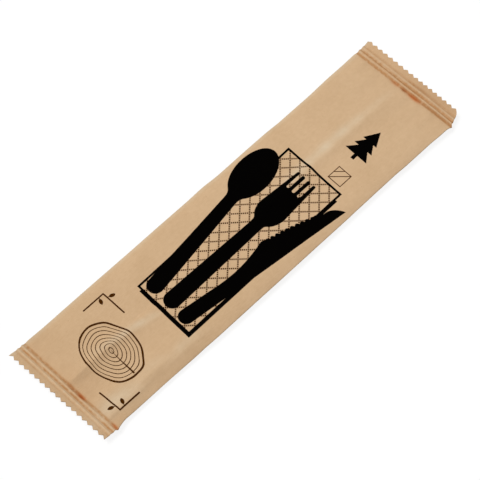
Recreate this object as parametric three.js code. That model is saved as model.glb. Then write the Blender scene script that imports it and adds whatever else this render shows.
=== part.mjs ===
// Sealed paper pack of a wooden cutlery kit: one sheet of kraft paper folded into a tube, seamed along
// its back, filled, then crimped shut and cut with a toothed knife at both ends.
// Millimetres. X runs along the pack, Y across it and Z up. The pack lies on its back on Z = 0.
import * as THREE from "three";

// Paper tube
const packLength = 222.4; // tooth tip to tooth tip, along the middle
const packWidth = 56; // lay-flat width, side fold to side fold
const plyPair = 0.4; // two plies of paper pressed together
const sealSkew = 1.06; // how far one side fold runs ahead of the other at the seals and the +X cut
const cutSkew = 1; // how much further askew the -X cut is

// End seals
const sealLength = 8; // inner groove to tooth tips
const plainEdge = 3; // paper left smooth outside the ribs, teeth included
const ribPitch = 2.4; // groove to groove
const ribHeight = 0.8; // groove to ridge
const ribFade = 0.6; // share of that height lost by the last groove
const ridgePower = 1.6; // higher makes narrower ridges between wider grooves
const toothPitch = 3.1;
const toothDepth = 1.15;
const sealHeight = 4.3; // middle of the paper at the inner groove, above the table
const endCurl = 1; // lift of the cut edge above the inner groove
const sideDraw = 0.25; // how far each groove draws the +Y fold in
const sideSpread = 0.6; // how far the inner groove squeezes the -Y fold out
const spreadFade = 4; // how soon that dies away towards the cut: higher is sooner
const cornerTuck = 2.6; // the -Y corner of the leading end is drawn in by the crimp

// Filled body
const foldHeight = 3.7; // side folds above the table
const frontRise = 2.4; // front panel above the side folds, crest included
const shoulder = 30; // length over which the front climbs from a seal to its full height
const bodyDraw = 0.2; // how far filling draws each side fold in
const sideRound = 8; // power of the front's curve across the middle: higher is flatter
const endRound = 2; // the same beside the seals
const crestShare = 0.4; // part of the front's rise that is a soft crest along the pack
const crestPower = 8; // how steeply the crest falls to both sides
const crestSide = 0.4; // crest line, to the +Y side of the middle
const backRound = 4; // power of the back's curve across
const backPress = 1.35; // how hard the back is pressed flat: higher is a wider flat

// Back seam: two edges of the sheet sealed face to face and folded flat
const seamWidth = 10;
const seamGauge = 0.4;
const seamRoot = 2; // the folded root, to the +Y side of the middle
const seamStep = 0.08; // how steep the two long edges of the seam are

// Slack places in the front: back from a seal (of the +X or -X end), in from the -Y side fold
const dents = [
  { end: -1, back: 5.5, in: 21, reach: 6.5, spread: 5, depth: 1.1 }, // the back seam meets the seal
  { end: 1, back: 3, in: 20, reach: 4, spread: 4.5, depth: 0.8 },
  { end: -1, back: 6, in: 48, reach: 7, spread: 4, depth: 0.5 }, // gathers beside the seals
  { end: 1, back: 6, in: 38, reach: 6, spread: 4, depth: 0.35 },
  { end: -1, back: 26, in: 2.6, reach: 22, spread: 2.4, depth: 0.9 }, // hollow along a side fold
];

// Mesh steps
const bodySteps = 21; // from the middle of the pack to a seal
const bodyCrowding = 1.35; // closes the steps up towards the seal
const stepsPerRib = 4;

const halfLength = packLength / 2;
const halfWidth = packWidth / 2;
const sealLine = halfLength - sealLength;
const ribCount = Math.max(1, Math.floor((sealLength - plainEdge) / ribPitch));
const ribSpan = ribCount * ribPitch;
const halfTeeth = Math.round((2 * packWidth) / toothPitch);
const centring = cutSkew / 4; // keeps the skewed pack in the middle of its own length
const { clamp, lerp } = THREE.MathUtils;

// Columns across the sheet as shares of the half width, +1 to -1: one on every tooth tip and root, and two
// on each long edge of the back seam
function makeColumns() {
  const columns = [];
  for (let i = 0; i <= halfTeeth; i++) {
    columns.push(1 - (2 * i) / halfTeeth);
  }
  for (const edge of [seamRoot, seamRoot - seamWidth]) {
    columns.push((edge + seamStep / 2) / halfWidth, (edge - seamStep / 2) / halfWidth);
  }
  return columns.sort((a, b) => b - a);
}

// Stations from the middle of the pack out to one cut end
function makeStations() {
  const stations = [];
  for (let i = 0; i < bodySteps; i++) {
    const left = (1 - i / bodySteps) ** bodyCrowding;
    stations.push({ reach: sealLine * (1 - left), rib: 0 });
  }
  for (let i = 0; i <= ribCount * stepsPerRib; i++) {
    const share = i / (ribCount * stepsPerRib);
    const ridge = (0.5 - 0.5 * Math.cos(2 * Math.PI * ribCount * share)) ** ridgePower;
    const rib = ribHeight * (ridge - 0.5) * (1 - ribFade * share);
    stations.push({ reach: sealLine + share * ribSpan, rib });
  }
  const lastGroove = sealLine + ribSpan;
  const toothRoot = halfLength - toothDepth;
  stations.push({ reach: (lastGroove + toothRoot) / 2, rib: 0 });
  stations.push({ reach: halfLength, rib: 0, cut: true });
  return stations;
}

// Share of the full height that the contents hold the paper at: none in the seals
function fillAt(reach) {
  const climb = clamp((sealLine - reach) / shoulder, 0, 1);
  return 1 - (1 - climb) ** 2;
}

// How far into the seal a station lies, as a share of the seal's length
function sealShare(reach) {
  return Math.max(0, reach - sealLine) / sealLength;
}

// Height of the middle of the paper, where the side folds run
function waistAt(reach) {
  return lerp(sealHeight, foldHeight, fillAt(reach)) + endCurl * sealShare(reach) ** 2;
}

// Distance from the middle line to a side fold
function sideAt({ reach, rib }, end, column) {
  const groove = Math.max(0, -rib) / (0.5 * ribHeight);
  const filled = halfWidth - bodyDraw * fillAt(reach);
  if (column > 0) {
    return filled - sideDraw * groove;
  }
  const tucked = end > 0 ? cornerTuck * sealShare(reach) : 0;
  return filled + sideSpread * groove * (1 - sealShare(reach)) ** spreadFade - tucked;
}

// How far a column of the cut end stands back from the tooth tips, as a share of the tooth depth.
// The two ends come from one knife, so the tips of one face the roots of the other.
function toothGap(column, end) {
  const teeth = ((1 - column) * halfTeeth) / 4;
  const gap = 1 - 2 * Math.abs(teeth - Math.floor(teeth) - 0.5);
  return end < 0 ? gap : 1 - gap;
}

function dentAt(x, y) {
  let depth = 0;
  for (const dent of dents) {
    const along = (x - dent.end * (sealLine - dent.back)) / dent.reach;
    const across = (y + halfWidth - dent.in) / dent.spread;
    depth += dent.depth * Math.exp(-along * along - across * across);
  }
  return depth;
}

// Front panel above the side folds: flat over the contents, steep at the sides, with a soft crest along it
function frontAt(reach, column) {
  const fill = fillAt(reach);
  const flat = 1 - Math.abs(column) ** lerp(endRound, sideRound, fill);
  const crest = (1 - Math.min(1, Math.abs(column - crestSide / halfWidth))) ** crestPower;
  return frontRise * fill * lerp(flat, crest, crestShare);
}

// Back panel as a share of the way from the side folds down to the table, where it lies flat
function backAt(reach, column) {
  const press = Math.min(1, backPress * fillAt(reach) * (1 - Math.abs(column) ** backRound));
  return 1 - (1 - press) ** 2;
}

// One cross section: points on the front from +Y to -Y, and the points under them on the back
function makeSection(station, end, columns) {
  const { reach, rib, cut } = station;
  const waist = waistAt(reach) + rib;
  const skew = sealSkew + (cut && end < 0 ? cutSkew : 0);
  const front = [];
  const back = [];
  for (const column of columns) {
    const y = column * sideAt(station, end, column);
    const out = reach - (cut ? toothDepth * toothGap(column, end) : 0);
    const x = end * out - (skew * y * reach) / (packWidth * halfLength) + centring;
    const slack = fillAt(reach) * dentAt(x, y);
    const top = waist + plyPair / 2 + frontAt(reach, column) - slack;
    const under = lerp(waist - plyPair / 2, seamGauge, backAt(reach, column));
    const acrossSheet = column * halfWidth;
    const onSeam = acrossSheet < seamRoot && acrossSheet > seamRoot - seamWidth;
    front.push(new THREE.Vector3(x, y, top));
    back.push(new THREE.Vector3(x, y, onSeam ? under - seamGauge : under));
  }
  return { front, back };
}

// Closed loft through the cross sections, with the two cut edges as end faces
function loft(sections) {
  const across = sections[0].front.length;
  const ring = 2 * across;
  const points = sections.flatMap(({ front, back }) => [...front, ...back.toReversed()]);
  const faces = [];
  for (let s = 0; s < sections.length - 1; s++) {
    for (let i = 0; i < ring; i++) {
      const a = s * ring + i;
      const b = s * ring + ((i + 1) % ring);
      faces.push(a, b, a + ring, b, b + ring, a + ring);
    }
  }
  const last = (sections.length - 1) * ring;
  for (let i = 0; i < across - 1; i++) {
    const under = ring - 1 - i;
    faces.push(i, under, i + 1, i + 1, under, under - 1);
    faces.push(last + i, last + i + 1, last + under, last + i + 1, last + under - 1, last + under);
  }
  const geometry = new THREE.BufferGeometry().setFromPoints(points);
  geometry.setIndex(faces);
  geometry.computeVertexNormals();
  return geometry;
}

function makePack() {
  const columns = makeColumns();
  const stations = makeStations();
  const trailing = stations.slice(1).reverse();
  const sections = [
    ...trailing.map((station) => makeSection(station, -1, columns)),
    ...stations.map((station) => makeSection(station, 1, columns)),
  ];
  const kraft = new THREE.MeshStandardMaterial({ color: 0xcfae88, roughness: 0.72, metalness: 0 });
  const pack = new THREE.Mesh(loft(sections), kraft);
  pack.name = "paper_pack";
  return pack;
}

const cutleryKit = new THREE.Group();
cutleryKit.name = "cutlery_kit";
cutleryKit.add(makePack());

export default cutleryKit;
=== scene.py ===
import bmesh
import bpy
import math
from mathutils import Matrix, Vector, noise


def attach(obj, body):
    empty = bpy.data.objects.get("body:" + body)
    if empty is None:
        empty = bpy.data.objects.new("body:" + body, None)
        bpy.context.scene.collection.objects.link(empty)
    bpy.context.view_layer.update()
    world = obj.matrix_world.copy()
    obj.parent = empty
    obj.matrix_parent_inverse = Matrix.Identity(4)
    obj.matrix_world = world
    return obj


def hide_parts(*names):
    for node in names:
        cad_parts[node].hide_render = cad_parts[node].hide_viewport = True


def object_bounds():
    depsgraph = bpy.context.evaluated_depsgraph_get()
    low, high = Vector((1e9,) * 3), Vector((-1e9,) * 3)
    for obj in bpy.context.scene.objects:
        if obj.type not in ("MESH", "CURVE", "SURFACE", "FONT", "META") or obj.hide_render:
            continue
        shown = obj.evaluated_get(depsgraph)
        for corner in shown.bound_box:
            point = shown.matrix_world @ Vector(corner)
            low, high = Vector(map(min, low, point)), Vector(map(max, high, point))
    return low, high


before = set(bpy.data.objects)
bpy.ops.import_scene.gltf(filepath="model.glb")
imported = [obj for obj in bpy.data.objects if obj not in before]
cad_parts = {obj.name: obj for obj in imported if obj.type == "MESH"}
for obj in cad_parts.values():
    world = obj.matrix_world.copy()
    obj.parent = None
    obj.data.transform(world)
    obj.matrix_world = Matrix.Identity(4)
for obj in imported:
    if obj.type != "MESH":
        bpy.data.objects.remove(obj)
cadLow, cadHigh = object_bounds()
mm = 0.001
print("frame loaded:", sorted(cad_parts), "box", tuple(cadLow), tuple(cadHigh))


# paper sleeve: the CAD solid, rounded, then worked as soft paper
sleeve = {
    "node": "paper_pack",
    "merge": 0.002 * mm,  # the CAD triangles share corners within this
    "flatAngle": 30,  # degrees, pairs of triangles flatter than this become one square again
    "creaseAngle": 42,  # degrees, cut edges and folds sharper than this stay sharp
    "shadeAngle": 50,  # degrees, edges sharper than this are shaded as edges
    "levels": 2,
    "printedTilt": 0.3,  # faces that look up by more than this carry the print
    "sealLength": 8 * mm,  # inner groove to tooth tips, as in the CAD model
    "innerGroove": 103.2 * mm,  # from the middle
    "sealEdge": 1 * mm,  # to both sides of that groove, where the paper goes from free to pressed
    "sealBend": (0.22 * mm, 22 * mm, 1, 19.4),  # slow wave of the seals across the pack
    "crimpReach": 16 * mm,  # how far inside the seals the jaws leave marks
    "shoulder": 30 * mm,  # where the front climbs from a seal to its full height
    "freeShare": 0.82,  # of the half width: the panels wave fully out to here, and less towards the folds
}
marks = ("pressedAndShaded", "stainedAndShaded", "brownedAndShaded", "wearAndHighlight")  # painted shade and highlight, partly pressed, stained and browned paper and wear; kept on each point of the paper
offGrid = 0.5  # noise is zero on whole numbers


def smoothStep(low, high, value):
    t = min(1.0, max(0.0, (value - low) / (high - low)))
    return t * t * (3 - 2 * t)


def bell(offset, half):
    return math.exp(-((offset / half) ** 2))


def plateau(offset, half):
    # as a bell, with a flatter top and steeper sides
    return math.exp(-(abs(offset / half) ** 3))


def ripple(x, y, shape, shift=0):
    # smooth noise at a point; its shape is a height, a length, a width and a seed
    height, length, width, seed = shape
    return height * noise.noise(Vector((x / length, y / width, seed + shift)))


def roundedCopy(settings):
    bm = bmesh.new()
    bm.from_mesh(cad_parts[settings["node"]].data)
    bmesh.ops.remove_doubles(bm, verts=bm.verts, dist=settings["merge"])
    bmesh.ops.join_triangles(
        bm,
        faces=bm.faces,
        angle_face_threshold=math.radians(settings["flatAngle"]),
        angle_shape_threshold=math.pi,
    )
    crease = bm.edges.layers.float.new("crease_edge")
    for edge in bm.edges:
        if edge.calc_face_angle(0) > math.radians(settings["creaseAngle"]):
            edge[crease] = 1
    triangles = sum(len(face.verts) == 3 for face in bm.faces)
    print("sleeve cage:", len(bm.faces), "faces,", triangles, "triangles")
    mesh = bpy.data.meshes.new("sleeve_cage")
    bm.to_mesh(mesh)
    bm.free()
    cage = bpy.data.objects.new("sleeve_cage", mesh)
    bpy.context.scene.collection.objects.link(cage)
    smooth = cage.modifiers.new("smooth", "SUBSURF")
    smooth.levels = smooth.render_levels = settings["levels"]
    bpy.context.view_layer.update()
    seen = cage.evaluated_get(bpy.context.evaluated_depsgraph_get())
    rounded = bpy.data.meshes.new_from_object(seen)
    bpy.data.objects.remove(cage)
    return rounded


# crimped seals, by end where there are pairs; lengths in mm, along from the inner groove towards the cut
crimp = {
    "shift": {1: 0.37, -1: 0.25},  # how far the seals lie off the middle, and run askew
    "slope": {1: 0.026, -1: 0.0176},
    # place of each groove, extra depth, half width, painted shade (partly pressed paper)
    "grooves": {
        1: ((-0.4, 0.12, 0.68, 1.35), (1.85, 0.10, 0.80, 0.80), (4.2, 0.06, 0.65, 0.35)),
        -1: ((0.12, -0.12, 0.68, 0.95), (2.35, -0.05, 0.52, 1.00), (4.8, 0.04, 0.50, 0.32)),
    },
    "uneven": (0.3, 4.5, 0.37, 31.0),  # ripple in the grooves' depth
    "mottle": (0.8, 1.3, 0.9, 35.0),  # ripple in their painted shade, about a level
    "mottleLevel": 0.8,
    # place of each ridge, extra height, half width
    "ridges": {
        1: ((0.5, 0.12, 0.40), (2.9, 0.10, 0.45)),
        -1: ((1.7, 0.04, 0.40), (3.8, 0.04, 0.50)),
    },
    "knots": (1, 1.5, 0.61, 41.0),  # ripple along the ridges
    "knotLift": 0.6,  # how much higher its crests are, and how much painted highlight, partly rubbing, they carry about a level
    "knotHighlight": 0.8,
    "highlightLevel": 0.35,
    "seam": (-9.5, 1.5),  # the back seam's plies pass the jaws between these
    "seamEdge": 1.5,
    "seamPress": {1: 0.55, -1: 0.25},  # how much more painted shade, partly scorch, the grooves carry there
    "shade": {1: (0.12, 0.24), -1: (0.16, 0.04)},  # painted shade on the paper inside and outside the grooves
    "shadeReach": 5.0,  # how far inside
    # where thicker layers pass the jaws, and patches of painted shade: along, across, half sizes, extra
    # depth, stain, browning; stain and browning are partly painted shade
    "pockets": {
        1: (
            (-0.9, -6.9, 1.05, 3.6, 0.20, 0.9, 0.15),
            (-0.8, -1.0, 0.9, 1.6, 0.20, 0.4, 0.6),
            (-0.9, 4.2, 1.0, 2.4, 0.10, 0.5, 0.0),
            (6.0, -14.0, 3.2, 14.0, 0.0, 0.0, 0.2),
            (-0.35, -19.0, 0.75, 9.5, 0.0, 0.0, 0.35),
            (4.5, -9.0, 0.7, 7.0, 0.04, 0.0, 0.18),
        ),
        -1: (
            (0.3, -7.4, 0.9, 2.1, 0.25, 1.0, 0.2),
            (0.3, -1.9, 0.9, 3.0, 0.20, 0.2, 0.25),
            (0.0, -27.0, 0.8, 1.6, 0.10, 0.8, 0.0),
            (4.8, 21.0, 0.5, 8.0, 0.03, 0.0, 0.15),
            (-4.0, -3.0, 7.0, 8.0, 0.0, 0.0, 0.08),
        ),
    },
}


def crimpAt(x, y, innerGroove):
    # how far the jaws press a point down, and how much painted shade (partly pressing, stain and browning)
    # and painted highlight (partly rubbing) they leave; in mm
    end = 1 if x > 0 else -1
    along = end * (x - crimp["shift"][end] + crimp["slope"][end] * y) - innerGroove
    seamLow, seamHigh = crimp["seam"]
    edge = crimp["seamEdge"]
    onSeam = smoothStep(seamLow - edge, seamLow + edge, y) * smoothStep(seamHigh + edge, seamHigh - edge, y)
    heavy = 1 + crimp["seamPress"][end] * onSeam
    shadeIn, shadeOut = crimp["shade"][end]
    # painted shade inside and outside the grooves
    pressedAndShaded = shadeIn * math.exp(along / crimp["shadeReach"]) if along < 0 else shadeOut
    drop = 0
    stainedAndShaded = 0
    brownedAndShaded = 0
    pale = 0
    mottle = crimp["mottleLevel"] + ripple(y, along, crimp["mottle"], end)
    # painted shade in the groove floors, partly pressed paper
    for number, (place, depth, half, dark) in enumerate(crimp["grooves"][end]):
        floor = plateau(along - place, half)
        uneven = 1 + ripple(y, end + number, crimp["uneven"], number)
        drop += depth * uneven * floor
        pressedAndShaded += dark * heavy * uneven * mottle * floor
    # painted highlight on the ridge crests, partly rubbing
    for number, (place, height, half) in enumerate(crimp["ridges"][end]):
        crown = bell(along - place, half)
        knots = ripple(y, end - number, crimp["knots"])
        drop -= height * crown * (1 + crimp["knotLift"] * knots)
        pale += crown * max(0, crimp["highlightLevel"] + crimp["knotHighlight"] * knots)
    # pockets: orange and brown painted shade, partly heat stain
    for place, across, halfLong, halfWide, sink, stainAndShade, brownAndShade in crimp["pockets"][end]:
        near = plateau(along - place, halfLong) * plateau(y - across, halfWide)
        drop += sink * near
        stainedAndShaded += stainAndShade * near
        brownedAndShaded += brownAndShade * near
    return drop, min(1, pressedAndShaded), min(1, stainedAndShaded), min(1, brownedAndShaded), min(1, pale)


# soft ridges in the front where the paper bends over what it holds; lengths in mm
# from, to, height, spread to the far and the near side, painted highlight (partly rubbing), half width of
# its band
ridges = (
    ((16, 0.6), (90, 0.6), 0.36, 2.8, 2.3, 0.95, 2.4),
    ((68, 0.6), (105, 0.8), 0.24, 2.4, 2.0, 0.3, 1.9),
    ((-108, 0.6), (-70, 0.2), 1.40, 2.8, 3.8, 0.05, 1.6),
    ((-92, 2.3), (-46, -5.3), 0.55, 2.4, 2.2, 0.90, 1.8),
    ((-68, 2.8), (-44, 2.4), -0.75, 3.0, 4.0, 0.0, 1.0),
    ((-114, -9.2), (-74, -7.4), -0.42, 4.2, 9.0, 0.0, 1.0),
    ((-118, -22.7), (-74, -23.0), 0.60, 3.4, 1.5, 1.0, 4.0),
    ((-86, -20.6), (-60, -21.2), 0.40, 2.6, 1.5, 0.30, 2.5),
    ((-70, -23.0), (-39, -23.4), 0.30, 2.0, 1.4, 0.50, 2.4),
)
ridgeForm = {
    "fade": 0.34,  # share of its length over which a ridge dies out
    "taper": 0.8,  # how pointed its ends are
    "wander": (0.7, 17, 1, 51.0),  # ripple that takes it out of straight
    "round": 0.25,  # how rounded its crest is
    "patch": (0.45, 5, 1, 57.0),  # ripple in its painted highlight, about a level
    "patchLevel": 0.85,
}


def ridgesAt(x, y):
    # height of the ridges at a point, and how much painted highlight (partly rubbing) they carry; in mm
    fade = ridgeForm["fade"]
    total = 0
    pale = 0
    for (startX, startY), (endX, endY), height, far, near, highlight, band in ridges:
        length = endX - startX
        along = (x - startX) / length
        away = y - startY - (endY - startY) * along - ripple(x, startY, ridgeForm["wander"])
        inset = ridgeForm["taper"] * abs(away) / length
        within = smoothStep(0, fade, along - inset) * smoothStep(0, fade, 1 - along - inset)
        if within > 0:
            spread = far if away > 0 else near
            total += height * within * math.exp(-math.hypot(away, ridgeForm["round"]) / spread)
            # painted highlight along the ridge, partly rubbing
            patchy = max(0, ridgeForm["patchLevel"] + ripple(x, startY, ridgeForm["patch"]))
            pale += highlight * within * patchy * bell(away - band, band)
    return total, min(1, pale)


# side folds, the far one at 1 and the near one at -1; lengths in mm
folds = {
    # how far out of straight each lies at places along the pack
    "bends": {
        1: (
            (-94, -0.19), (-80, 0.0), (-8, 0.05), (3, 0.28), (13, -0.17), (30, 0.0),
            (41, 0.0), (52, -0.36), (67, -0.31), (84, 0.2), (94, 0.0),
        ),
        -1: (
            (-102, 0.4), (-96, -0.42), (-78, -0.40), (-52, 0.05), (-42, 0.42),
            (36, 0.28), (44, 0.12), (57, 0.0), (68, 0.0), (76, 0.3), (90, 0.3), (98, 0.6),
        ),
    },
    "bendPower": 4,  # how fast a bend dies away from the fold: higher is faster
    "waver": {1: (0.16, 26, 1, 23.0), -1: (0.16, 26, 1, 29.0)},  # ripple along each fold
    "waverPower": 2,
    "foldHighlight": (25.3, 28.0),  # painted highlight, partly wear, along the far one between these
    "foldHighlightLevel": 0.7,
}


def bendAt(places, x):
    # smooth run from place to place along a fold
    if x < places[0][0]:
        return places[0][1]
    for (startX, startOut), (endX, endOut) in zip(places, places[1:]):
        if x < endX:
            return startOut + (endOut - startOut) * smoothStep(startX, endX, x)
    return places[-1][1]


# stretches where the near fold hangs, from a line along the pack outwards; lengths in mm
hangs = (
    {"from": -107, "to": 107, "line": -18, "depth": 0.1},
    {"from": -106, "to": -41, "line": -23.8, "depth": 0.9},
)
hangFade = 16  # length over which a hang sets in
# the near corner of the leading seal hangs too, more and more over these shares of the half width
droop = {"end": 1, "depth": 0.7 * mm, "across": (-0.2, -1.0), "start": 4 * mm}


def hangAt(x, y, halfWidth):
    # how far the near side hangs at a point; in mm
    depth = 0
    for hang in hangs:
        within = smoothStep(0, hangFade, x - hang["from"]) * smoothStep(0, hangFade, hang["to"] - x)
        part = max(0, hang["line"] - y) / (hang["line"] + halfWidth)
        depth += hang["depth"] * within * part * part
    return depth


# waves of the front panel
front = {
    "swell": (0.30 * mm, 34 * mm, 15 * mm, 3.1),  # broad ripple
    "cockle": (0.14 * mm, 11 * mm, 8 * mm, 7.7),  # short ripple, fullest in slack paper
    "cockleHeld": 0.35,  # share of it where the contents hold the paper out
    "crinkle": (1, 9 * mm, 5 * mm, 12.3),  # ripple whose zeros are sharp little creases
    "crinkleLean": 0.4,
    "crinkleDepth": 0.035 * mm,
    "crinklePower": 4,  # higher is sharper
    "pleatHeight": 0.28 * mm,  # pleats that run out of the seals
    "pleatPitch": 7.5 * mm,
    "pleatStart": 3 * mm,  # length over which they set in, and that over which they die out
    "pleatReach": 13 * mm,
    "pleatDrift": (3.4, 18 * mm, 1, 5.5),  # ripple in their places, in radians
    "pleatUneven": (0.45, 9 * mm, 1, 8.8),  # ripple in their height, about a level
    "pleatLevel": 0.55,
}


def frontLift(x, y, end, fromSeal, filled):
    held = front["cockleHeld"]
    lift = ripple(x, y, front["swell"]) * filled
    lift += ripple(x, y, front["cockle"]) * (held + (1 - held) * (1 - filled))
    fromCrease = abs(ripple(x + y * front["crinkleLean"], y, front["crinkle"]))
    lift -= front["crinkleDepth"] * (1 - fromCrease) ** front["crinklePower"]
    turn = 2 * math.pi * y / front["pleatPitch"] + ripple(y, end, front["pleatDrift"]) + end
    height = front["pleatHeight"] * (front["pleatLevel"] + ripple(y, end, front["pleatUneven"]))
    fade = math.exp(-max(0, fromSeal) / front["pleatReach"]) * smoothStep(0, front["pleatStart"], fromSeal)
    return lift + height * fade * math.cos(turn)


# back panel, with its pressed seam
back = {
    "cockle": (0.084 * mm, 13 * mm, 9 * mm, 15.2),  # short ripple, about a level
    "cockleLevel": 0.084 * mm,
    "seamRoot": 2 * mm,  # from the seam's folded root to its free edge
    "seamFree": -8 * mm,
    "seamRib": 1.5 * mm,  # pitch of the ribs pressed into it
    "seamRibDepth": 0.05 * mm,
    "relief": (2.6 * mm, 0.9 * mm),  # no relief above the first height, all of it below the second
}


def backLift(x, y, z):
    under = smoothStep(*back["relief"], z)
    if back["seamFree"] < y < back["seamRoot"]:
        return back["seamRibDepth"] * under * (1 + math.cos(2 * math.pi * y / back["seamRib"]))
    return under * (back["cockleLevel"] + ripple(x, y, back["cockle"]))


def workPaper(mesh, settings):
    # moves every point a little, front and back panels each in their own way
    halfWidth = cadHigh.y
    sealLine = settings["innerGroove"]
    sealEdge = settings["sealEdge"]
    bm = bmesh.new()
    bm.from_mesh(mesh)
    bm.normal_update()
    pressedAndShaded, stainedAndShaded, brownedAndShaded, wearAndHighlight = (bm.verts.layers.float.new(name) for name in marks)
    for vert in bm.verts:
        x, y, z = vert.co
        end = 1 if x > 0 else -1
        side = 1 if y > 0 else -1
        outwards = abs(y) / halfWidth
        fromSeal = sealLine - abs(x)
        inSeal = smoothStep(sealEdge, -sealEdge, fromSeal)
        free = smoothStep(1, settings["freeShare"], outwards) * (1 - inSeal)
        if vert.normal.z > 0:
            height, pale = ridgesAt(x / mm, y / mm)
            # painted highlight along the far fold, partly wear, and along the ridges
            foldHighlight = folds["foldHighlightLevel"] * smoothStep(*folds["foldHighlight"], y / mm)
            vert[wearAndHighlight] = max(pale, foldHighlight)
            filled = smoothStep(0, settings["shoulder"], fromSeal)
            lift = frontLift(x, y, end, fromSeal, filled) + height * mm
        else:
            lift = backLift(x, y, z)
        vert.co.z += lift * free
        vert.co.z += ripple(y, end, settings["sealBend"]) * inSeal
        if fromSeal < settings["crimpReach"]:
            # painted shade and highlight from the jaws, with their stain and browning
            jaws = crimpAt(x / mm, y / mm, sealLine / mm)
            drop, vert[pressedAndShaded], vert[stainedAndShaded], vert[brownedAndShaded], pale = jaws
            vert[wearAndHighlight] = max(vert[wearAndHighlight], pale)
            vert.co.z -= drop * mm
        if end == droop["end"]:
            sunk = smoothStep(droop["start"], -settings["sealLength"], fromSeal)
            vert.co.z -= droop["depth"] * sunk * smoothStep(*droop["across"], y / halfWidth)
        vert.co.z -= hangAt(x / mm, y / mm, halfWidth / mm) * mm
        waver = ripple(x / mm, offGrid, folds["waver"][side]) * mm
        bend = bendAt(folds["bends"][side], x / mm) * mm
        vert.co.y += waver * outwards ** folds["waverPower"]
        vert.co.y += side * bend * outwards ** folds["bendPower"]
    bm.to_mesh(mesh)
    bm.free()


# bake map: most of it goes to the printed front, as two halves; the back shares a strip, edges a sliver
bakeMap = {
    "rooms": {
        "tail": (0.575, 0.985),
        "head": (0.150, 0.560),
        "back": (0.030, 0.138),
        "edge": (0.006, 0.018),
    },
    "edgeTilt": 0.25,  # faces that look up or down by less than this are edges
    "spareLength": 1.02,  # times the CAD box, so that the soft paper fits too
    "spareWidth": 1.01,
    "margin": 0.012,  # at both ends of a room
}


def bakeRoom(face):
    up = face.normal.z
    if abs(up) < bakeMap["edgeTilt"]:
        return "edge"
    if up < 0:
        return "back"
    return "tail" if face.center.x < 0 else "head"


def bakeLayout(mesh):
    uvs = mesh.uv_layers.new(name="OFBake")
    halfLength = cadHigh.x * bakeMap["spareLength"]
    halfWidth = max(cadHigh.y, -cadLow.y) * bakeMap["spareWidth"]
    margin = bakeMap["margin"]
    for face in mesh.polygons:
        room = bakeRoom(face)
        low, high = bakeMap["rooms"][room]
        for loop in face.loop_indices:
            x, y, z = mesh.vertices[mesh.loops[loop].vertex_index].co
            along = 0.5 + 0.5 * x / halfLength
            across = 0.5 + 0.5 * y / halfWidth
            if room == "tail":
                along = 2 * along
            elif room == "head":
                along = 2 * along - 1
            elif room == "edge":
                across = z / cadHigh.z
            along = margin + (1 - 2 * margin) * along
            uvs.data[loop].uv = (along, low + (high - low) * across)


def makeSleeve(settings):
    mesh = roundedCopy(settings)
    workPaper(mesh, settings)
    mesh.name = "paper_sleeve"
    mesh.shade_smooth()
    mesh.set_sharp_from_angle(angle=math.radians(settings["shadeAngle"]))
    printed = mesh.attributes.new("printedSide", "FLOAT", "FACE")
    looksUp = [1.0 if face.normal.z > settings["printedTilt"] else 0.0 for face in mesh.polygons]
    printed.data.foreach_set("value", looksUp)
    bakeLayout(mesh)
    piece = bpy.data.objects.new("paper_sleeve", mesh)
    bpy.context.scene.collection.objects.link(piece)
    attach(piece, "root")
    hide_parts(settings["node"])
    print("sleeve:", len(mesh.polygons), "faces")
    return piece


# shader sums: a socket that takes part in Python expressions
class Wire:
    def __init__(self, tree, socket=None):
        self.tree = tree
        self.socket = socket

    def node(self, kind, settings=None, inputs=None, out=0):
        made = self.tree.nodes.new(kind)
        for name, value in (settings or {}).items():
            setattr(made, name, value)
        for name, value in (inputs or {}).items():
            if isinstance(value, Wire):
                self.tree.links.new(value.socket, made.inputs[name])
            else:
                made.inputs[name].default_value = value
        return Wire(self.tree, made.outputs[out] if made.outputs else None)

    def math(self, operation, *values, clamp=False):
        settings = {"operation": operation, "use_clamp": clamp}
        return self.node("ShaderNodeMath", settings, dict(enumerate(values)))

    def blend(self, factor, first, second, kind="MIX"):
        settings = {"data_type": "RGBA", "blend_type": kind}
        inputs = {"Factor": factor, "A": first, "B": second}
        return self.node("ShaderNodeMix", settings, inputs, out="Result")

    def __add__(self, other):
        return self.math("ADD", self, other)

    def __radd__(self, other):
        return self.math("ADD", other, self)

    def __sub__(self, other):
        return self.math("SUBTRACT", self, other)

    def __rsub__(self, other):
        return self.math("SUBTRACT", other, self)

    def __mul__(self, other):
        return self.math("MULTIPLY", self, other)

    def __rmul__(self, other):
        return self.math("MULTIPLY", other, self)

    def __truediv__(self, other):
        return self.math("DIVIDE", self, other)

    def __pow__(self, other):
        return self.math("POWER", self, other)

    def __neg__(self):
        return self * -1

    def __abs__(self):
        return self.math("ABSOLUTE", self)

    def least(self, other):
        return self.math("MINIMUM", self, other)

    def most(self, other):
        return self.math("MAXIMUM", self, other)

    def joined(self, other, fillet):
        return self.math("SMOOTH_MIN", self, other, fillet)

    def fromRow(self, pitch):
        # distance to the nearest of a row of lines
        return self.math("PINGPONG", self, pitch / 2)

    def share(self, low, high):
        # 0 at low, 1 at high and straight between, held beyond
        return self.math("MULTIPLY", self - low, 1 / (high - low), clamp=True)


# printed figures: each returns a distance in mm, below zero where there is ink
def turned(x, y, origin, degrees):
    c = math.cos(math.radians(degrees))
    s = math.sin(math.radians(degrees))
    dx = x - origin[0]
    dy = y - origin[1]
    return dx * c + dy * s, dy * c - dx * s


def radius(a, b):
    return (a * a + b * b) ** 0.5


def stroke(along, across, length, startRadius, endRadius):
    # round-ended bar from the origin along the first axis
    part = along.share(0, length)
    return radius(along - part * length, across) - (part * (endRadius - startRadius) + startRadius)


def oval(along, across, halfLong, halfWide):
    return (radius(along / halfLong, across / halfWide) - 1) * halfWide


def slab(along, across, halfLong, halfWide):
    return (abs(along) - halfLong).most(abs(across) - halfWide)


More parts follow.
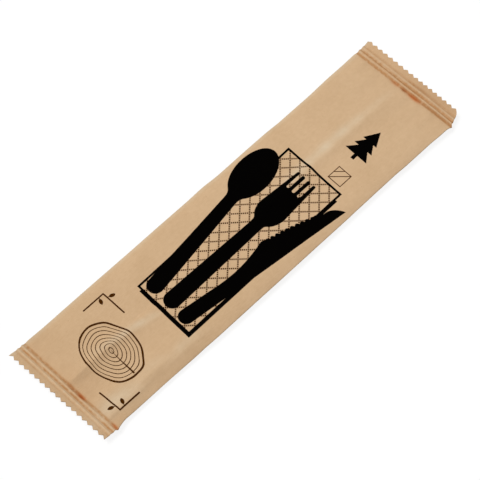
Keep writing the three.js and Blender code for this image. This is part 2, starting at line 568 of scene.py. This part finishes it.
cutlery = {
    "spoon": {"place": (-45.1, 7.6), "turn": 7.45, "handle": 55, "end": 4.05, "neck": 3.0},
    "bowl": {"at": 69.6, "long": 14.9, "wide": 8.85, "fillet": 2.6},
    "fork": {"place": (-44.9, -2.63), "turn": 0.13, "handle": 51, "end": 4.05, "neck": 2.95},
    "head": {"at": 61.5, "long": 9.2, "wide": 7.05, "tip": 83.2, "tipWide": 5.45, "fillet": 3.0},
    "tines": {"root": 74.6, "pitch": 3.2, "gap": 0.76, "bar": 0.82},
    "knife": {"place": (-46.1, -12.3), "turn": -6.2, "end": 3.7, "grip": 3.0, "waist": 20, "belly": 0.3},
    "blade": {"start": 47.3, "swell": 22, "edge": 7.85, "fall": 0.105, "bend": 0.0029},
    "scallops": {"pitch": 2.45, "bite": 1.0, "from": 1.5, "stop": 73.5, "fade": 1},
    "point": {"start": 77.3, "edge": 1.14, "bend": 78.5, "fall": 0.095, "steep": 10},
}


def spoonFigure(x, y):
    shape, bowl = cutlery["spoon"], cutlery["bowl"]
    along, across = turned(x, y, shape["place"], shape["turn"])
    handle = stroke(along, across, shape["handle"], shape["end"], shape["neck"])
    return handle.joined(oval(along - bowl["at"], across, bowl["long"], bowl["wide"]), bowl["fillet"])


def forkFigure(x, y):
    shape, head, tines = cutlery["fork"], cutlery["head"], cutlery["tines"]
    along, across = turned(x, y, shape["place"], shape["turn"])
    out = abs(across)
    handle = stroke(along, across, shape["handle"], shape["end"], shape["neck"])
    cheeks = oval(along - head["at"], across, head["long"], head["wide"])
    taper = along.share(head["at"], head["tip"])
    edge = out - (head["wide"] - taper * (head["wide"] - head["tipWide"]))
    plate = edge.most(head["at"] - along).most(along - head["tip"])
    gapRow = abs(out - tines["pitch"]).least(out)  # three gaps, mirrored about the middle
    gap = radius((along - tines["root"]).least(0), gapRow) - tines["gap"]
    barRow = abs(abs(out - tines["pitch"]) - tines["pitch"] / 2)  # four tines
    past = along - (head["tip"] - tines["bar"])
    tip = radius(past.most(0), barRow) - tines["bar"]
    tipped = plate.most(past.least(tip))
    return handle.joined(cheeks, head["fillet"]).least(tipped).most(-gap)


def knifeFigure(x, y):
    shape, blade, scallops, point = (cutlery[name] for name in ("knife", "blade", "scallops", "point"))
    along, across = turned(x, y, shape["place"], shape["turn"])
    rise = (along - blade["swell"]).most(0) / (blade["start"] - blade["swell"])
    grip = shape["end"] - along.share(0, shape["waist"]) * (shape["end"] - shape["grip"])
    neck = rise * rise * (blade["edge"] - shape["grip"]) + grip
    out = along - blade["start"]
    arch = abs(along.math("SINE", along * (math.pi / scallops["pitch"])))
    fade = scallops["fade"]
    toothed = out.share(scallops["from"], scallops["from"] + fade)
    toothed = toothed * along.share(scallops["stop"], scallops["stop"] - fade)
    curve = blade["edge"] - out * blade["fall"] - out * out * blade["bend"]
    edge = curve - (1 - arch) * toothed * scallops["bite"]
    past = (along - point["bend"]).most(0)
    beak = point["edge"] - past * past * point["fall"] + (point["start"] - along).most(0) * point["steep"]
    belly = along.share(0, blade["start"]) * shape["belly"] + shape["end"]
    body = (across - neck.least(edge).least(beak)).most(-belly - across).most(-along)
    return body.least(radius(along, across) - shape["end"])


# printed place mat: a box with a bar of shadow along two sides, cross-hatched
panel = {
    "place": (-3.6, -2.5),
    "turn": 0.83,
    "half": (47.65, 16.35),
    "line": 1.05,
    "lean": 0.029,  # its short sides lean, and it widens a little along its length
    "widening": 0.00034,
    "shade": 0.95,  # width of the bar, and how far it stops short
    "shadeEnds": (4.1, 2.4),
    "hatch": (6.43, 5.98),
    "hatchLine": 0.74,
    "hatchShift": (-7.4, 5.98),
    "hatchDots": 5,  # dashes from crossing to crossing, and their length
    "hatchDash": 0.62,
}


def panelPlace(x, y):
    along, across = turned(x, y, panel["place"], panel["turn"])
    along = along - across * panel["lean"]
    return along, across / (along * panel["widening"] + 1)


def panelFrame(along, across):
    long, wide = panel["half"]
    outside = slab(along, across, long, wide)
    line = abs(outside + panel["line"] / 2) - panel["line"] / 2
    shade = panel["shade"]
    endGap, sideGap = panel["shadeEnds"]
    shadow = slab(
        along + (endGap + shade) / 2,
        across + (sideGap + shade) / 2,
        long - (endGap - shade) / 2,
        wide - (sideGap - shade) / 2,
    )
    return line.least(shadow.most(-outside - panel["line"] / 2)), outside


def hatchLines(along, across, outside):
    longShift, wideShift = panel["hatchShift"]
    longPitch, widePitch = panel["hatch"]
    a = (along - longShift) / longPitch
    b = (across - wideShift) / widePitch
    cell = math.hypot(longPitch, widePitch)
    dashPitch = cell / 2 / panel["hatchDots"]
    ink = []
    for row, run in ((a + b, a - b), (a - b, a + b)):
        line = row.fromRow(1) * (longPitch * widePitch / cell) - panel["hatchLine"] / 2
        dash = (run * panel["hatchDots"]).fromRow(1) * dashPitch - panel["hatchDash"] / 2
        ink.append(line.most(dash))
    return ink[0].least(ink[1]).most(outside)


corners = {
    "upper": {"place": (-63.75, 20.75), "turn": 180, "arms": (11.5, 12.8), "lean": 0.9},
    "lower": {"place": (-95.85, -23.32), "turn": 0, "arms": (11.1, 11.8), "lean": 2.9},
    "line": 0.36,
    "leaf": (1.6, 0.85),
    "leafPlaces": ((3.3, 2.1, 70), (-2.2, 3.3, 160)),
    "stem": 0.18,
    "stemLength": 2.4,
}


def cornerBracket(x, y, shape):
    along, across = turned(x, y, shape["place"], shape["turn"])
    firstArm, secondArm = shape["arms"]
    line = corners["line"]
    stem = corners["stem"]
    long, wide = corners["leaf"]
    lens = (wide * wide + long * long) / (2 * wide)  # two arcs meet at the leaf's points
    up, over = turned(across, -along, (0, 0), shape["lean"])
    ink = stroke(along, across, firstArm, line, line).least(stroke(up, over, secondArm, line, line))
    for leafX, leafY, turn in corners["leafPlaces"]:
        a, b = turned(along, across, (leafX, leafY), turn)
        leaf = radius(a, abs(b) + (lens - wide)) - lens
        ink = ink.least(leaf).least(stroke(-a, b, corners["stemLength"], stem, stem))
    return ink


rings = {
    "place": (-80.1, -1.7),
    "half": (11.5, 15.5),
    "pitch": 2.05,
    "line": 0.21,
    "bark": 0.5,
    "drift": {"Scale": 0.085, "Detail": 1.0},
    "wobble": 1.3,
    "split": (0.084, 0.462),  # half widths of a crack, at the heart and at the bark
}


def growthRings(x, y, spot):
    along, across = turned(x, y, rings["place"], 0)
    drift = spot.node("ShaderNodeTexNoise", {"noise_dimensions": "2D"}, {"Vector": spot, **rings["drift"]})
    shape = oval(along, across, *rings["half"]) + (drift - 0.5) * 2 * rings["wobble"]
    ring = shape.fromRow(rings["pitch"]) - rings["line"]
    inside = shape + rings["pitch"] / 2
    bark = abs(shape) - rings["bark"]
    split = stroke(-across, -along, rings["half"][1], *rings["split"])
    return ring.most(inside).least(bark).least(split.most(inside))


# fir tree: height and half width of its trunk; foot, height and half width of each tier
tree = {
    "place": (60, -9),
    "trunk": (3.4, 0.9),
    "tiers": ((2.6, 8.2, 6.3), (7.2, 7.6, 5.2), (11.6, 7.2, 4.0)),
}


def firTree(x, y):
    up, side = turned(x, y, tree["place"], 0)
    out = abs(side)
    height, half = tree["trunk"]
    ink = (out - half).most(up - height).most(-up)
    for base, rise, halfWide in tree["tiers"]:
        slope = (out - (base + rise - up) * (halfWide / rise)) * (rise / math.hypot(rise, halfWide))
        ink = ink.least(slope.most(base - up))
    return ink


square = {"place": (49.6, -11.5), "half": 3.6, "line": 0.2}


def foldedSquare(x, y):
    a, b = turned(x, y, square["place"], 0)
    half, line = square["half"], square["line"]
    diagonal = math.sqrt(0.5)
    outside = slab(a, b, half, half)
    rim = abs(outside) - line
    fold = (abs(a + b) * diagonal - line).most(outside)
    second = (abs(a + b - half) * diagonal - line).most(outside).most(-(a + b))
    return rim.least(fold).least(second)


# kraft paper and its print
paper = {
    "light": (0.66, 0.455, 0.272, 1),
    "dark": (0.565, 0.375, 0.212, 1),
    "fleck": (0.36, 0.215, 0.105, 1),
    "pressedAndShaded": (0.76, 0.58, 0.43, 1),  # painted shade in the grooves and near the seals, partly the tint of paper squeezed by the jaws
    "stainedAndShaded": (0.97, 0.54, 0.345, 1),  # orange painted shade in deep pockets, partly where the jaws' heat stained it
    # painted shade on the seals and near the crest, partly browned paper
    "brownedAndShaded": (0.58, 0.44, 0.32, 1),
    "wearAndHighlight": (1.05, 1.19, 1.36, 1),  # painted highlight along ridges and the far fold, partly worn paper
    "ink": (0.0006, 0.0004, 0.0003, 1),
    "inkThin": (0.004, 0.003, 0.0025, 1),
    "inkFine": (0.055, 0.016, 0.0005, 1),  # thin lines print browner
    "cloud": {"Scale": 0.06, "Detail": 3.0, "Roughness": 0.55},
    "blotch": {"Scale": 0.55, "Detail": 3.0, "Roughness": 0.6},
    "grain": {"Scale": 3.2, "Detail": 2.0},
    "fibre": {"Scale": 1.0, "Detail": 2.5, "Roughness": 0.6, "Distortion": 0.5},
    # how the fibres lie: degrees, stretch, seed
    "lays": ((4, (0.32, 3.6, 1.0), 3.0), (38, (0.5, 4.2, 1.0), 11.0), (-33, (0.5, 4.2, 1.0), 23.0)),
    "hairFineness": 30,  # higher is thinner
    # weights in the sheet's tone, and how fast painted light makes it lighter along the pack
    "tone": {"cloud": 1.0, "blotch": 0.8, "fibre": 1.0, "hair": 0.10, "slope": 0.0018},
    "specks": {"Scale": 0.42, "Randomness": 1.0},
    "speckEdge": (0.10, 0.04),  # from outside to inside a speck
    "speckWhere": (0.45, 0.55),  # they show where blotches pass from the first to the second
    "speckStrength": 0.55,
    "inkEdge": 0.06,  # mm over which an inked edge softens
    "ragged": 0.10,  # mm by which fibres fray it
    "thinWhere": (0.62, 0.74),  # ink lies thin on proud fibres
    "thinStrength": 0.6,
    "relief": {"laid": 0.45, "crossed": 0.25, "grain": 0.3, "hair": 0.08},
    "bump": {"Strength": 0.35, "Distance": 0.12 * mm},
    "rough": {"level": 0.74, "fibre": 0.25, "ink": 0.08},
    "specular": 0.005,
}


def streaks(spot, turn, stretch, seed):
    # fibres lying mostly one way: noise drawn out along its own axis
    lay = {"Rotation": (0, 0, math.radians(turn)), "Scale": stretch, "Location": (seed, seed, 0)}
    laid = spot.node("ShaderNodeMapping", {"vector_type": "POINT"}, {"Vector": spot, **lay})
    return spot.node("ShaderNodeTexNoise", {"noise_dimensions": "3D"}, {"Vector": laid, **paper["fibre"]})


def hairs(fibre):
    return (1 - abs(fibre - 0.5) * paper["hairFineness"]).most(0)


def printedFigures(x, y, spot):
    # distances to the solid figures and to the fine lines
    onPanel = panelPlace(x, y)
    box, outside = panelFrame(*onPanel)
    bold = box
    for figure in (spoonFigure, forkFigure, knifeFigure, firTree):
        bold = bold.least(figure(x, y))
    fine = hatchLines(*onPanel, outside)
    for name in ("upper", "lower"):
        fine = fine.least(cornerBracket(x, y, corners[name]))
    return bold, fine.least(growthRings(x, y, spot)).least(foldedSquare(x, y))


def kraftPaper():
    material = bpy.data.materials.new("kraft_paper_printed")
    material.use_nodes = True
    nodeTree = material.node_tree
    nodeTree.nodes.clear()
    graph = Wire(nodeTree)
    place = graph.node("ShaderNodeTexCoord", out="Object")
    spot = graph.node("ShaderNodeVectorMath", {"operation": "SCALE"}, {0: place, "Scale": 1 / mm})
    x = graph.node("ShaderNodeSeparateXYZ", inputs={0: spot}, out=0)
    y = graph.node("ShaderNodeSeparateXYZ", inputs={0: spot}, out=1)

    # fibres and cloudiness of the sheet
    cloud, blotch, grain = (
        graph.node("ShaderNodeTexNoise", inputs={"Vector": spot, **paper[name]})
        for name in ("cloud", "blotch", "grain")
    )
    laid, crossed, counter = (streaks(spot, *lay) for lay in paper["lays"])
    hair = hairs(crossed) + hairs(counter)
    weights = paper["tone"]
    tone = 0.5 + (cloud - 0.5) * weights["cloud"] + (blotch - 0.5) * weights["blotch"]
    # painted light: the sheet grows lighter towards the far end
    tone = tone + (laid - 0.5) * weights["fibre"] + hair * weights["hair"] + x * weights["slope"]
    sheet = graph.blend(tone.share(0, 1), paper["dark"], paper["light"])
    speck = graph.node("ShaderNodeTexVoronoi", inputs={"Vector": spot, **paper["specks"]}, out="Distance")
    fleck = speck.share(*paper["speckEdge"]) * blotch.share(*paper["speckWhere"])
    sheet = graph.blend(fleck * paper["speckStrength"], sheet, paper["fleck"])
    # painted shade and highlight, with stains and browning, multiply the sheet
    for name in marks:
        amount = graph.node("ShaderNodeAttribute", {"attribute_name": name}, out="Fac")
        sheet = graph.blend(amount, sheet, paper[name], "MULTIPLY")

    # print
    bold, fine = printedFigures(x, y, spot)
    ragged = (crossed - 0.5) * paper["ragged"]
    side = graph.node("ShaderNodeAttribute", {"attribute_name": "printedSide"}, out="Fac")
    edge = paper["inkEdge"]
    solid = (bold + ragged).share(edge, -edge) * side
    lines = (fine + ragged).share(edge, -edge) * side
    thin = ((blotch + laid) / 2).share(*paper["thinWhere"])
    ink = graph.blend(thin * paper["thinStrength"], paper["ink"], paper["inkThin"])
    colour = graph.blend(solid, graph.blend(lines, sheet, paper["inkFine"]), ink)

    relief = paper["relief"]
    height = laid * relief["laid"] + crossed * relief["crossed"]
    height = height + grain * relief["grain"] + hair * relief["hair"]
    bump = graph.node("ShaderNodeBump", inputs={"Height": height, **paper["bump"]})
    rough = paper["rough"]
    roughness = rough["level"] + (laid - 0.5) * rough["fibre"] - solid * rough["ink"]
    shader = graph.node(
        "ShaderNodeBsdfPrincipled",
        inputs={
            "Base Color": colour,
            "Roughness": roughness,
            "Normal": bump,
            "Specular IOR Level": paper["specular"],
        },
    )
    graph.node("ShaderNodeOutputMaterial", inputs={"Surface": shader})
    print("kraft paper:", len(nodeTree.nodes), "nodes")
    return material


# white sweep under the pack, and soft studio light
stage = {"size": 3.0, "colour": (0.9, 0.9, 0.9, 1), "seen": (0.14, 0.14, 0.14, 1), "glow": 0.87}
white = (1, 1, 1, 1)


def looking(graph):
    # 1 for the camera's own rays and for those that gloss or glass sends on, 0 for the rest
    camera, glossy, passed = (
        graph.node("ShaderNodeLightPath", out=name)
        for name in ("Is Camera Ray", "Is Glossy Ray", "Is Transmission Ray")
    )
    return camera.most(glossy).most(passed)


def makeFloor():
    bm = bmesh.new()
    bmesh.ops.create_grid(bm, x_segments=1, y_segments=1, size=stage["size"])
    mesh = bpy.data.meshes.new("floor")
    bm.to_mesh(mesh)
    bm.free()
    floor = bpy.data.objects.new("floor", mesh)
    bpy.context.scene.collection.objects.link(floor)
    material = bpy.data.materials.new("white_sweep")
    material.use_nodes = True
    nodeTree = material.node_tree
    nodeTree.nodes.clear()
    graph = Wire(nodeTree)
    # the camera sees a floor that glows a little, so that it is white and its shadow faint
    plain = graph.node("ShaderNodeBsdfDiffuse", inputs={"Color": stage["colour"]})
    shaded = graph.node("ShaderNodeBsdfDiffuse", inputs={"Color": stage["seen"]})
    glow = graph.node("ShaderNodeEmission", inputs={"Color": white, "Strength": stage["glow"]})
    seen = graph.node("ShaderNodeAddShader", inputs={0: shaded, 1: glow})
    both = graph.node("ShaderNodeMixShader", inputs={0: looking(graph), 1: plain, 2: seen})
    graph.node("ShaderNodeOutputMaterial", inputs={"Surface": both})
    mesh.materials.append(material)


lights = {
    "world": 0.26,
    "lamps": (
        {"name": "top_softbox", "place": (-1.1, 1.3, 5.0), "size": 2.0, "power": 226},
    ),
}


def makeLight():
    world = bpy.data.worlds.new("studio")
    bpy.context.scene.world = world
    world.use_nodes = True
    nodeTree = world.node_tree
    nodeTree.nodes.clear()
    graph = Wire(nodeTree)
    strength = looking(graph) * (1 - lights["world"]) + lights["world"]
    sky = graph.node("ShaderNodeBackground", inputs={"Color": white, "Strength": strength})
    graph.node("ShaderNodeOutputWorld", inputs={"Surface": sky})
    for lamp in lights["lamps"]:
        data = bpy.data.lights.new(lamp["name"], "AREA")
        data.shape = "SQUARE"
        data.size = lamp["size"]
        data.energy = lamp["power"]
        item = bpy.data.objects.new(lamp["name"], data)
        item.location = lamp["place"]
        item.rotation_mode = "QUATERNION"
        item.rotation_quaternion = (-Vector(lamp["place"])).to_track_quat("-Z", "Y")
        bpy.context.scene.collection.objects.link(item)


# the photograph's viewing angle; angles in degrees, lens and sensor in mm
view = {
    "azimuth": -45.18,
    "elevation": 62.33,
    "distance": 0.960,
    "aim": (-2.69 * mm, -1.43 * mm, 2.17 * mm),
    "lens": 165,
    "sensor": 36,
}


def makeCamera():
    data = bpy.data.cameras.new("photo_view")
    data.lens = view["lens"]
    data.sensor_width = view["sensor"]
    turn = math.radians(view["azimuth"])
    rise = math.radians(view["elevation"])
    away = Vector((math.sin(turn) * math.cos(rise), -math.cos(turn) * math.cos(rise), math.sin(rise)))
    camera = bpy.data.objects.new("photo_view", data)
    camera.location = Vector(view["aim"]) + away * view["distance"]
    camera.rotation_mode = "QUATERNION"
    camera.rotation_quaternion = (-away).to_track_quat("-Z", "Y")
    bpy.context.scene.collection.objects.link(camera)
    bpy.context.scene.camera = camera


piece = makeSleeve(sleeve)
piece.data.materials.clear()
piece.data.materials.append(kraftPaper())
makeFloor()
makeLight()
makeCamera()
bpy.context.scene.view_settings.view_transform = "Standard"
print("floor, light and camera set")
